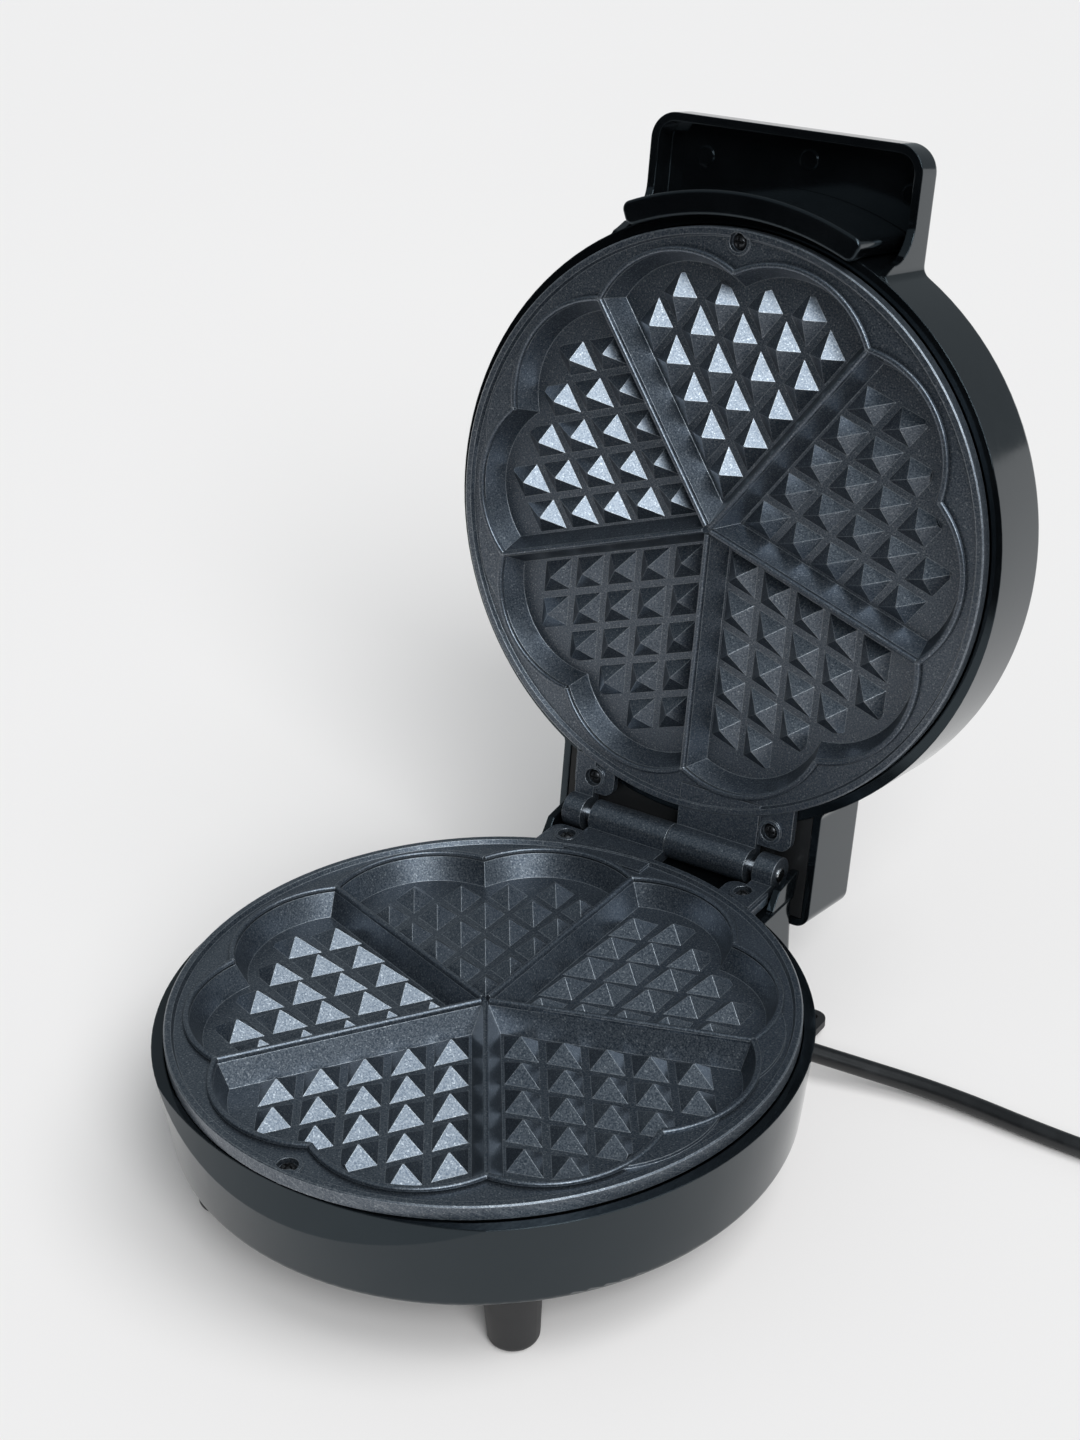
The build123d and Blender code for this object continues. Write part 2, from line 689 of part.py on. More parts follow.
with BuildPart() as lid_lip:
    add(lip_plan(LIP_R[0] - 0.8, LIP_R[1] - 0.4, lip_turn, LIP_CORNER, LIP_BOTTOM))
    extrude(amount=LID_RIM_Z - 0.3 - LIP_BOTTOM)
    add(lip_plan(LIP_R[0], LIP_R[1] - 0.4, lip_turn, LIP_CORNER, LID_RIM_Z - 0.3))
    extrude(amount=HANDLE_CEILING - 0.4 - LID_RIM_Z + 0.3)
    fillet(lid_lip.edges().group_by(Axis.Z)[0], 0.9)
    hollow_turn = lip_turn - 1.2
    add(lip_plan(LIP_R[0] + LIP_WALL, LIP_R[1] - 0.4 - LIP_WALL, hollow_turn, 1.2, LIP_BOTTOM + 2.4))
    extrude(amount=40, mode=Mode.SUBTRACT)

with BuildPart() as lid_rear_cover:
    with BuildSketch(Plane.XY.offset(LID_BOX_Z + 0.2)) as cover_plan:
        with Locations((0, (LID_BOX_Y - WALL - 0.3 + 60) / 2)):
            Rectangle(2 * (LID_BOX_HALF - WALL - 0.3), LID_BOX_Y - WALL - 0.3 - 60)
        Circle(SHELL_R + 0.3, mode=Mode.SUBTRACT)
        with Locations(*SCREW_SPOTS[1:]):
            Circle(BOSS_R + 0.4, mode=Mode.SUBTRACT)
        with Locations((-25, 119), (25, 119)):
            Circle(1.5, mode=Mode.SUBTRACT)
    extrude(amount=2)
    with BuildSketch(Plane.XY.offset(LID_BOX_Z)):
        with Locations((-25, 119), (25, 119)):
            Circle(2.8)
    extrude(amount=1.5, mode=Mode.SUBTRACT)

with BuildPart() as cover_screw:
    with BuildSketch(Plane.XY):
        Circle(2.6)
    extrude(amount=1.2)
    with BuildSketch(Plane.XY.offset(1.2)):
        Circle(1.3)
    extrude(amount=8)
    with BuildSketch(Plane.XY):
        Rectangle(3.4, 0.7)
        Rectangle(0.7, 3.4)
    extrude(amount=0.8, mode=Mode.SUBTRACT)

with BuildPart() as rear_cover_screws:
    with Locations((-25, 119, LID_BOX_Z + 0.3), (25, 119, LID_BOX_Z + 0.3)):
        add(cover_screw.part)

# The lid's plate and what lies behind it are the base's, turned over about the hinge line
turn_over = Axis((0, 0, HINGE_Z), (0, 1, 0))


def turned(builder):
    """The same piece turned over, as the lid's half faces the base's."""
    with BuildPart() as upper:
        add(builder.part.rotate(turn_over, 180))
    return upper


upper_plate = turned(lower_plate)
upper_plate_screws = turned(lower_plate_screws)
upper_element = turned(lower_element)
upper_element_bracket = turned(lower_element_bracket)
upper_clamp_screws = turned(lower_clamp_screws)
upper_reflector = turned(lower_reflector)

plate_back = 2 * HINGE_Z - PLATE_UNDER_Z

with BuildPart() as thermostat:
    with BuildSketch(Plane.XY.offset(plate_back)):
        with Locations((0, -20)):
            SlotOverall(30, 10)
            Circle(8.0)
    extrude(amount=1.0)
    with BuildSketch(Plane.XY.offset(plate_back + 1.0)):
        with Locations((0, -20)):
            Circle(7.6)
    extrude(amount=6.5)

with BuildPart() as lens:
    with BuildSketch(Plane.XY.offset(92.4)):
        Circle(5.0)
    extrude(amount=LID_TOP_Z - WALL - 0.1 - 92.4)
    with BuildSketch(Plane.XY.offset(92.4)):
        Circle(4.0)
    extrude(amount=LID_TOP_Z + 1.0 - 92.4)
    fillet(lens.edges().group_by(Axis.Z)[-1], 0.9)

with BuildPart() as pilot_lamps:
    with Locations((-10, -74), (10, -74)):
        add(lens.part)

with BuildPart() as lamp_holder:
    with BuildSketch(Plane.XY.offset(86.6)):
        with Locations((0, -74)):
            RectangleRounded(48, 9, 1.5)
    extrude(amount=1.6)
    with BuildSketch(Plane.XY.offset(88.2)):
        with Locations((-10, -74), (10, -74)):
            Circle(2.0)
    extrude(amount=4.0)

lid_leads = [
    lead([(-14, 112, 74), (-5, 112, 74), (-5, 104, 86), (-5, 80, 90), (-5, 10, 90), (-8, -66, 87.5)], 4.0),
    lead([(14, 112, 74), (5, 112, 74), (5, 104, 86), (5, 80, 90), (16, 66, 90), (19.7, 58, 90)], 3.0),
]
with BuildPart() as lid_wiring:
    for wire in lid_leads:
        add(wire)

# Mains cord: straight runs joined by arcs as large as the runs allow


def corner_radii(route, share=0.45):
    """The radius at each corner: a share of the shorter run over the tangent of half the turn."""
    radii = []
    for before, corner, after in zip(route, route[1:], route[2:]):
        run_in = Vector(*corner) - Vector(*before)
        run_out = Vector(*after) - Vector(*corner)
        turn = radians(run_in.get_angle(run_out))
        radii.append(share * min(run_in.length, run_out.length) / tan(turn / 2))
    return radii


cord_radii = corner_radii(CORD_ROUTE)
with BuildPart() as power_cord:
    with BuildLine() as cord_path:
        FilletPolyline(*CORD_ROUTE, radius=cord_radii)
    with BuildSketch(start_plane(CORD_ROUTE)):
        Circle(CORD_R)
    sweep()

# The rest of the cord lies in a neat coil: half turns that spiral in on the table,
# one that climbs, and half turns that spiral out on top
coil_x = CORD_ROUTE[-1][0] + 2 * CORD_R
coil_y = CORD_ROUTE[-1][1] + COIL_OUTER
low_z = CORD_ROUTE[-1][2]
high_z = low_z + COIL_LAYER
step = COIL_PITCH / 2
TAIL_X = 62.0


def crossing(offset, height):
    """Where the coil crosses the line through its middle, offset towards the front."""
    return Vector(coil_x, coil_y - offset, height)


inward = [COIL_OUTER, -(COIL_OUTER - step), COIL_OUTER - 2 * step, -(COIL_OUTER - 3 * step)]
climb_end = COIL_OUTER - 4 * step
outward = [climb_end, -(COIL_OUTER - 2 * step), COIL_OUTER - step]

with BuildPart() as cord_coil:
    with BuildLine() as coil_path:
        Line(Vector(*CORD_ROUTE[-1]), crossing(COIL_OUTER, low_z))
        for side, (start, end) in enumerate(zip(inward, inward[1:])):
            bulge = abs(start - end) / 2 * (1 if side % 2 == 0 else -1)
            middle = crossing((start + end) / 2, low_z) + Vector(bulge, 0, 0)
            ThreePointArc(crossing(start, low_z), middle, crossing(end, low_z))
        climb_r = (climb_end - inward[-1]) / 2
        climb_middle = crossing((climb_end + inward[-1]) / 2, (low_z + high_z) / 2)
        climb_middle += Vector(-sqrt(climb_r**2 + (COIL_LAYER / 2) ** 2), 0, 0)
        climb_in = TangentArc(crossing(inward[-1], low_z), climb_middle, tangent=(-1, 0, 0))
        TangentArc(climb_middle, crossing(climb_end, high_z), tangent=climb_in % 1)
        for side, (start, end) in enumerate(zip(outward, outward[1:])):
            bulge = abs(start - end) / 2 * (1 if side % 2 == 0 else -1)
            middle = crossing((start + end) / 2, high_z) + Vector(bulge, 0, 0)
            ThreePointArc(crossing(start, high_z), middle, crossing(end, high_z))
        # The tail rises in an S of two arcs to the plug's height
        rise = PLUG_Z - high_z
        tail_start = crossing(outward[-1], high_z) + Vector(12, 0, 0)
        tail_top = crossing(outward[-1], PLUG_Z) + Vector(TAIL_X - 2 * CORD_R, 0, 0)
        tail_middle = (tail_start + tail_top) * 0.5
        Line(crossing(outward[-1], high_z), tail_start)
        rise_in = TangentArc(tail_start, tail_middle, tangent=(1, 0, 0))
        TangentArc(tail_middle, tail_top, tangent=rise_in % 1)
        Line(tail_top, tail_top + Vector(2 * CORD_R, 0, 0))
    with BuildSketch(Plane(origin=CORD_ROUTE[-1], z_dir=(1, 0, 0))):
        Circle(CORD_R)
    sweep()

# Earthed mains plug lying on its side, its cord end towards the coil
plug_start = coil_x + TAIL_X
plug_y = coil_y - outward[-1]
PLUG_LENGTH = 54.0
PLUG_FACE = 16.0
with BuildPart() as plug_body:
    with BuildSketch(Plane.XZ.offset(-plug_y)):
        with BuildLine():
            Polyline(
                (plug_start, PLUG_Z),
                (plug_start, PLUG_Z + 4.2),
                (plug_start + 20, PLUG_Z + 6.0),
                (plug_start + 21, PLUG_Z + 9.5),
                (plug_start + PLUG_LENGTH - PLUG_FACE, PLUG_Z + 15.0),
                (plug_start + PLUG_LENGTH - PLUG_FACE + 1.5, PLUG_Z + PLUG_R),
                (plug_start + PLUG_LENGTH, PLUG_Z + PLUG_R),
                (plug_start + PLUG_LENGTH, PLUG_Z),
                close=True,
            )
        make_face()
    revolve(axis=Axis((plug_start, plug_y, PLUG_Z), (1, 0, 0)))
    # Side channels for the earth clips
    for side in (-1, 1):
        with Locations((plug_start + PLUG_LENGTH - 5, plug_y, PLUG_Z + side * (PLUG_R - 0.6))):
            Box(14, 6, 3.2, mode=Mode.SUBTRACT)

with BuildPart() as plug_pins:
    with BuildSketch(Plane.YZ.offset(plug_start + PLUG_LENGTH)):
        with Locations((plug_y - 9.5, PLUG_Z), (plug_y + 9.5, PLUG_Z)):
            Circle(2.4)
    extrude(amount=19)
    fillet(plug_pins.edges().group_by(Axis.X)[-1], 1.0)

with BuildPart() as plug_earth_clips:
    for side in (-1, 1):
        with Locations((plug_start + PLUG_LENGTH - 5, plug_y, PLUG_Z + side * (PLUG_R - 1.7))):
            Box(12, 4, 1.0)

# Write every piece where it stands with the lid up
base_rest = Location((0, -FRAME_Y, 0))
hinge_at = Location((0, HINGE_Y, HINGE_Z))
lid_rest = base_rest * hinge_at * Location((0, 0, 0), (-OPEN_ANGLE, 0, 0)) * hinge_at.inverse()

base_pieces = {
    "base_shell": base_shell,
    "lower_plate": lower_plate,
    "lower_plate_screws": lower_plate_screws,
    "hinge_pin": hinge_pin,
    "lower_element": lower_element,
    "lower_element_bracket": lower_element_bracket,
    "lower_clamp_screws": lower_clamp_screws,
    "lower_reflector": lower_reflector,
    "thermal_fuse": thermal_fuse,
    "terminal_block": terminal_block,
    "cord_clamp": cord_clamp,
    "base_wiring": base_wiring,
    "front_feet": front_feet,
    "rear_feet": rear_feet,
    "strain_relief": strain_relief,
    "power_cord": power_cord,
    "cord_coil": cord_coil,
    "plug_body": plug_body,
    "plug_pins": plug_pins,
    "plug_earth_clips": plug_earth_clips,
}
lid_pieces = {
    "lid_shell": lid_shell,
    "lid_lip": lid_lip,
    "lid_rear_cover": lid_rear_cover,
    "rear_cover_screws": rear_cover_screws,
    "upper_plate": upper_plate,
    "upper_plate_screws": upper_plate_screws,
    "upper_element": upper_element,
    "upper_element_bracket": upper_element_bracket,
    "upper_clamp_screws": upper_clamp_screws,
    "upper_reflector": upper_reflector,
    "thermostat": thermostat,
    "pilot_lamps": pilot_lamps,
    "lamp_holder": lamp_holder,
    "lid_wiring": lid_wiring,
}
for pieces, rest in ((base_pieces, base_rest), (lid_pieces, lid_rest)):
    for name, piece in pieces.items():
        piece.part = piece.part.moved(rest)
        piece.part.label = name
        export_step(piece.part, f"parts/{name}.step")

# Cord figures


def length_of(path):
    """The length of a drawn route."""
    return sum(edge.length for edge in path.edges())


def volume_check(name, tube, path):
    """Print a tube's volume beside its length times its section."""
    expected = length_of(path) * pi * CORD_R**2
    print(f"{name}: {tube.volume / expected:.4f} of section times length")


def least_self_gap(path, spacing=2.0, apart=14.0):
    """The least gap of a tube to itself, measured between points along its middle line."""
    points = []
    walked = 0.0
    for edge in path.edges():
        count = max(2, int(edge.length / spacing))
        for k in range(count):
            points.append((walked + edge.length * k / count, edge @ (k / count)))
        walked += edge.length
    gaps = [
        (there - here).length
        for i, (at, here) in enumerate(points)
        for at_next, there in points[i + 1 :]
        if at_next - at > apart
    ]
    return min(gaps) - 2 * CORD_R


print("cord radii:", [round(r) for r in cord_radii])
volume_check("power_cord", power_cord.part, cord_path)
volume_check("cord_coil", cord_coil.part, coil_path)
print(f"coil's least gap to itself: {least_self_gap(coil_path):.2f} mm")
print(f"cord length: {length_of(cord_path) + length_of(coil_path):.0f} mm")
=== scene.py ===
"""A round five-heart waffle maker, standing open: finishes, mains lead, floor, light and camera.

Lengths are in metres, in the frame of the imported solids: the table is at Z 0, the front is at -Y
and the hinge runs along X behind the plates.
"""

import logging
from dataclasses import dataclass
from enum import Enum
from math import cos, pi, radians, sin

import bmesh
import bpy
import numpy as np
from mathutils import Matrix, Vector


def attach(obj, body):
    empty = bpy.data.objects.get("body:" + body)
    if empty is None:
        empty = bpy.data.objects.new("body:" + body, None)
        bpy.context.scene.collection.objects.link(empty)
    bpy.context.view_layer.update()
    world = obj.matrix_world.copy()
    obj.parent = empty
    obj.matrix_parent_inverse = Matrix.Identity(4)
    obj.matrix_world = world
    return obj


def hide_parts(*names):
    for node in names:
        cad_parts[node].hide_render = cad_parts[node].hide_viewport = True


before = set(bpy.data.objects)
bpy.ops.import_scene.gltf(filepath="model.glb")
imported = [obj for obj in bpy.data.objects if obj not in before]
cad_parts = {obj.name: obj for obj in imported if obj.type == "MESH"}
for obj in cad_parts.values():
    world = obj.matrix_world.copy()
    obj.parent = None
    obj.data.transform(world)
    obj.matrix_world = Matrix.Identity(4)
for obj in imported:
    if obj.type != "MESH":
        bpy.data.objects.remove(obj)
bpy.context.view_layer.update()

LOG = logging.getLogger("waffle_maker")

Value = float | int
Point = tuple[float, float, float]

# Places shared with the solids
PLATE_CENTRE_Y = -0.0433
HINGE = Vector((0.0, 0.0662, 0.059))
OPEN_ANGLE = 99.65
RIM_R = 0.097

# Corners nearer than this are one corner
WELD = 2e-6

# Edges that turn by more degrees than this are drawn sharp
SHARP_SOLID = 13.0
SHARP_PIECE = 40.0


class Half(Enum):
    """The two halves of the waffle maker, by the body each rides on."""

    BASE = "base"
    LID = "lid"


# Shader maths


class Sock:
    """One output of a node, or a plain number, that takes part in Python expressions."""

    def __init__(self, book: "NodeBook", link: object) -> None:
        """Keep the book that the nodes go into and the socket or number itself."""
        self.book = book
        self.link = link

    def _maths(self, operation: str, *others: object) -> "Sock":
        """Add one Math node.

        Args:
            operation: the Math node's operation.
            others: further sockets or numbers, after this one.

        Returns:
            The node's result.
        """
        return self.book.node("ShaderNodeMath", {"operation": operation}, [self, *others])["Value"]

    def __add__(self, other: object) -> "Sock":
        """This plus the other."""
        return self._maths("ADD", other)

    def __radd__(self, other: object) -> "Sock":
        """The other plus this."""
        return self._maths("ADD", other)

    def __sub__(self, other: object) -> "Sock":
        """This less the other."""
        return self._maths("SUBTRACT", other)

    def __mul__(self, other: object) -> "Sock":
        """This times the other."""
        return self._maths("MULTIPLY", other)

    def __gt__(self, other: object) -> "Sock":
        """1 where this is the greater, else 0."""
        return self._maths("GREATER_THAN", other)

    def __lt__(self, other: object) -> "Sock":
        """1 where this is the smaller, else 0."""
        return self._maths("LESS_THAN", other)

    def root(self) -> "Sock":
        """The square root."""
        return self._maths("SQRT")

    def turn_of(self, across: "Sock") -> "Sock":
        """The angle whose tangent is this over the other, all the way round."""
        return self._maths("ARCTAN2", across)

    def ramp(self, low: Value, high: Value, start: Value = 0.0, end: Value = 1.0) -> "Sock":
        """A smooth step.

        Args:
            low: the input where the step begins.
            high: the input where it ends.
            start: the result before it.
            end: the result after it.

        Returns:
            The result, eased at both ends.
        """
        settings = {"interpolation_type": "SMOOTHSTEP"}
        inputs = {"Value": self, "From Min": low, "From Max": high, "To Min": start, "To Max": end}
        return self.book.node("ShaderNodeMapRange", settings, inputs)["Result"]


class NodeBook:
    """The node tree of one finish, with one method that adds any node."""

    def __init__(self, name: str) -> None:
        """Start an empty material of that name."""
        self.material = bpy.data.materials.new(name)
        self.material.use_nodes = True
        self.tree = self.material.node_tree
        self.tree.nodes.clear()

    def node(self, kind: str, settings: dict | None = None, inputs: object = None) -> dict[str, Sock]:
        """Add one node.

        Args:
            kind: the node's type.
            settings: its own settings, set first. A ramp's stops go under "stops".
            inputs: its sockets by name or number, or a list in their order.

        Returns:
            Its outputs by name.
        """
        made = self.tree.nodes.new(kind)
        for key, value in (settings or {}).items():
            if key == "stops":
                while len(made.color_ramp.elements) < len(value):
                    made.color_ramp.elements.new(0.5)
                for stop, (place, colour) in zip(made.color_ramp.elements, value):
                    stop.position = place
                    stop.color = (*colour, 1.0)
            else:
                setattr(made, key, value)
        items = inputs.items() if isinstance(inputs, dict) else enumerate(inputs or [])
        for key, value in items:
            if isinstance(value, Sock):
                value = value.link
            if isinstance(value, bpy.types.NodeSocket):
                self.tree.links.new(value, made.inputs[key])
            else:
                made.inputs[key].default_value = value
        outputs: dict[str, Sock] = {}
        for output in made.outputs:
            if output.enabled and output.name not in outputs:
                outputs[output.name] = Sock(self, output)
        return outputs

    def place(self) -> Sock:
        """Object coordinates, which are the frame's own, as every piece sits at the origin."""
        return self.node("ShaderNodeTexCoord")["Object"]

    def noise(self, where: Sock, scale: Value, detail: Value = 2.0, rough: Value = 0.5) -> Sock:
        """Soft noise.

        Args:
            where: coordinates.
            scale: about one over the size of its spots, in metres.
            detail: octaves.
            rough: how strong the fine octaves are.

        Returns:
            Values about 0.5.
        """
        inputs = {"Vector": where, "Scale": scale, "Detail": detail, "Roughness": rough}
        return self.node("ShaderNodeTexNoise", {}, inputs)["Fac"]

    def cells(self, where: Sock, scale: Value) -> Sock:
        """One random number for each small cell of about 1 / scale metres."""
        found = self.node("ShaderNodeTexVoronoi", {}, {"Vector": where, "Scale": scale})["Color"]
        return self.node("ShaderNodeSeparateColor", {}, [found])["Red"]

    def split(self, where: Sock) -> tuple[Sock, Sock, Sock]:
        """A vector's X, Y and Z."""
        parts = self.node("ShaderNodeSeparateXYZ", {}, [where])
        return parts["X"], parts["Y"], parts["Z"]

    def join(self, x: object, y: object, z: object) -> Sock:
        """A vector from three numbers."""
        return self.node("ShaderNodeCombineXYZ", {}, [x, y, z])["Vector"]

    def blend(self, share: object, first: object, second: object) -> Sock:
        """A colour between two.

        Args:
            share: 0 for the first and 1 for the second.
            first: a colour.
            second: a colour.

        Returns:
            The mixed colour.
        """
        made = self.tree.nodes.new("ShaderNodeMix")
        made.data_type = "RGBA"
        sockets = {0: share, 6: first, 7: second}
        for key, value in sockets.items():
            if isinstance(value, Sock):
                self.tree.links.new(value.link, made.inputs[key])
            elif key == 0:
                made.inputs[key].default_value = value
            else:
                made.inputs[key].default_value = (*value, 1.0)
        return Sock(self, made.outputs[2])

    def soft_edges(self, radius: Value) -> Sock:
        """The surface normal with each edge rounded by that radius."""
        return self.node("ShaderNodeBevel", {"samples": 4}, {"Radius": radius})["Normal"]

    def edges(self, radius: Value) -> Sock:
        """1 along sharp edges and 0 on flats, from how far a rounded normal leaves the face's own."""
        own = self.node("ShaderNodeNewGeometry")["Normal"]
        pair = [own, self.soft_edges(radius)]
        agreed = self.node("ShaderNodeVectorMath", {"operation": "DOT_PRODUCT"}, pair)["Value"]
        return agreed.ramp(0.90, 0.995, 1.0, 0.0)

    def bump(self, height: Sock, depth: Value, strength: Value = 1.0, normal: Sock | None = None) -> Sock:
        """A normal tilted by a height pattern.

        Args:
            height: the pattern, from 0 to 1.
            depth: how high 1 stands, in metres.
            strength: share of the tilt that is used.
            normal: the normal to start from.

        Returns:
            The tilted normal.
        """
        inputs = {"Height": height, "Distance": depth, "Strength": strength}
        if normal is not None:
            inputs["Normal"] = normal
        return self.node("ShaderNodeBump", {}, inputs)["Normal"]

    def surface(self, **inputs: object) -> bpy.types.Material:
        """Close the tree with one Principled surface.

        Args:
            inputs: its sockets, with _ for a space and colours as three numbers.

        Returns:
            The finished material.
        """
        named: dict[str, object] = {}
        for key, value in inputs.items():
            if isinstance(value, tuple) and len(value) == 3:
                value = (*value, 1.0)
            named[key.replace("_", " ")] = value
        shader = self.node("ShaderNodeBsdfPrincipled", {}, named)["BSDF"]
        self.node("ShaderNodeOutputMaterial", {}, {"Surface": shader})
        return self.material


# Finishes


@dataclass(frozen=True)
class NonStick:
    """Blue-black sprayed non-stick coating with pale flakes and a painted highlight along its sharp edges,
    worn to metal round the turned rim.
    """

    half: Half
    dark: Point = (0.027, 0.042, 0.064)
    pale: Point = (0.49, 0.52, 0.55)
    flake_share: float = 0.84
    grain: float = 2300.0
    edge: float = 0.00025
    # Radius of the edge mask that paints a highlight along sharp edges
    painted_highlight_radius: float = 0.00045
    worn: Point = (0.34, 0.37, 0.40)
    side_depth: tuple[float, float] = (0.0006, 0.0002)
    lower_side: tuple[float, float] = (0.0533, 0.0580)
    upper_side: tuple[float, float] = (0.0600, 0.0647)

    def build(self) -> bpy.types.Material:
        """The plate's finish, centred on the plate of its own half."""
        book = NodeBook(f"non_stick_{self.half.value}")
        closing = Matrix.Identity(3)
        if self.half is Half.LID:
            closing = Matrix.Rotation(radians(OPEN_ANGLE), 3, "X")
        shift = HINGE - closing @ HINGE - Vector((0.0, PLATE_CENTRE_Y, 0.0))
        where = book.node(
            "ShaderNodeMapping",
            {},
            {"Vector": book.place(), "Location": shift, "Rotation": closing.to_euler()},
        )["Vector"]
        x, y, z = book.split(where)
        radius = (x * x + y * y).root()
        around = y.turn_of(x)
        flakes = book.cells(where, self.grain)
        grain = book.noise(where, self.grain * 0.8, 3.0, 0.65)
        cloud = book.noise(where, 55.0, 3.0, 0.6)
        sparkle = flakes.ramp(0.80, 1.0) * grain.ramp(0.35, 0.65)
        tone = sparkle * 0.34 + grain.ramp(0.30, 0.70) * 0.22 + cloud * 0.06
        # Painted highlight: the colour turns paler along sharp edges, where rounded edges would catch the
        # light
        tone = tone + book.edges(self.painted_highlight_radius) * 0.45
        coat = book.blend(tone, self.dark, self.pale)
        low, high = self.lower_side if self.half is Half.BASE else self.upper_side
        inner, outer = self.side_depth
        turned_side = radius.ramp(RIM_R - inner, RIM_R - outer) * (radius < RIM_R + outer)
        turned_side = turned_side * (z > low) * (z < high)
        lean = around * RIM_R + z * 1.9
        streaks = book.noise(book.join(lean * 16.0, z * 2.2, 0.0), 95.0, 4.0, 0.7)
        bare = turned_side * streaks.ramp(0.48, 0.74)
        colour = book.blend(bare * 0.62, coat, self.worn)
        roughness = grain.ramp(0.2, 0.8, 0.29, 0.41) + turned_side * 0.10
        normal = book.bump(grain, 0.00006, 0.8, book.soft_edges(self.edge))
        return book.surface(
            Base_Color=colour,
            Metallic=self.flake_share + sparkle * 0.1,
            Roughness=roughness,
            IOR=1.55,
            Coat_Weight=0.4,
            Coat_Roughness=0.22,
            Normal=normal,
        )


@dataclass(frozen=True)
class GlossPlastic:
    """Deep black moulded plastic with a polished face, a faint orange peel and fine rub marks."""

    name: str = "gloss_plastic"
    colour: Point = (0.0020, 0.0025, 0.0030)
    rubbed: Point = (0.0060, 0.0070, 0.0080)
    gloss: float = 0.075
    edge: float = 0.0006

    def build(self) -> bpy.types.Material:
        """The shells' finish."""
        book = NodeBook(self.name)
        where = book.place()
        peel = book.noise(where, 190.0, 2.0, 0.5)
        dust = book.noise(where, 3200.0, 2.0, 0.7).ramp(0.66, 0.80)
        rub = book.noise(where, 28.0, 5.0, 0.7)
        share = rub.ramp(0.35, 0.75) * 0.5 + dust * 0.4
        colour = book.blend(share, self.colour, self.rubbed)
        roughness = rub.ramp(0.3, 0.75, self.gloss, self.gloss + 0.07) + dust * 0.15
        normal = book.bump(peel, 0.00002, 0.35, book.soft_edges(self.edge))
        return book.surface(
            Base_Color=colour,
            Roughness=roughness,
            IOR=1.54,
            Specular_Tint=(0.70, 0.88, 1.0),
            Normal=normal,
        )


@dataclass(frozen=True)
class Satin:
    """Plain moulded or rolled stuff with a fine grain: matt plastic, rubber, nickel, sheet or brass."""

    name: str
    colour: Point
    second: Point
    rough: tuple[float, float]
    metal: float = 0.0
    grain: float = 1500.0
    depth: float = 0.00003
    edge: float = 0.0003

    def build(self) -> bpy.types.Material:
        """A two-tone grain with a rounded edge."""
        book = NodeBook(self.name)
        where = book.place()
        grain = book.noise(where, self.grain, 3.0, 0.6)
        cloud = book.noise(where, 60.0, 3.0, 0.6)
        colour = book.blend(grain * 0.6 + cloud * 0.4, self.colour, self.second)
        normal = book.bump(grain, self.depth, 0.5, book.soft_edges(self.edge))
        return book.surface(
            Base_Color=colour,
            Metallic=self.metal,
            Roughness=cloud.ramp(0.3, 0.7, *self.rough),
            Normal=normal,
        )


@dataclass(frozen=True)
class Lens:
    """Red moulded lens of a pilot lamp, with fine prisms inside."""

    colour: Point = (0.42, 0.012, 0.008)
    deep: Point = (0.16, 0.003, 0.002)

    def build(self) -> bpy.types.Material:
        """A dark glossy red, as the lamps are out."""
        book = NodeBook("lamp_lens")
        where = book.place()
        prisms = book.node("ShaderNodeTexVoronoi", {}, {"Vector": where, "Scale": 1300.0})["Distance"]
        colour = book.blend(prisms * 1.4, self.colour, self.deep)
        normal = book.bump(prisms, 0.0001, 0.4, book.soft_edges(0.0003))
        return book.surface(Base_Color=colour, Roughness=0.14, Normal=normal)


@dataclass(frozen=True)
class LeadJacket:
    """Black flexible cord jacket with a faint sheen and rub marks along it."""

    colour: Point = (0.006, 0.0062, 0.0068)
    rubbed: Point = (0.016, 0.0165, 0.018)

    def build(self) -> bpy.types.Material:
        """The jacket's finish."""
        book = NodeBook("lead_jacket")
        where = book.place()
        fine = book.noise(where, 1800.0, 2.0, 0.6)
        rub = book.noise(where, 90.0, 4.0, 0.7)
        share = rub.ramp(0.4, 0.8) * 0.6 + fine * 0.2
        colour = book.blend(share, self.colour, self.rubbed)
        return book.surface(
            Base_Color=colour,
            Roughness=rub.ramp(0.3, 0.7, 0.30, 0.42),
            Normal=book.bump(fine, 0.00002, 0.4),
        )


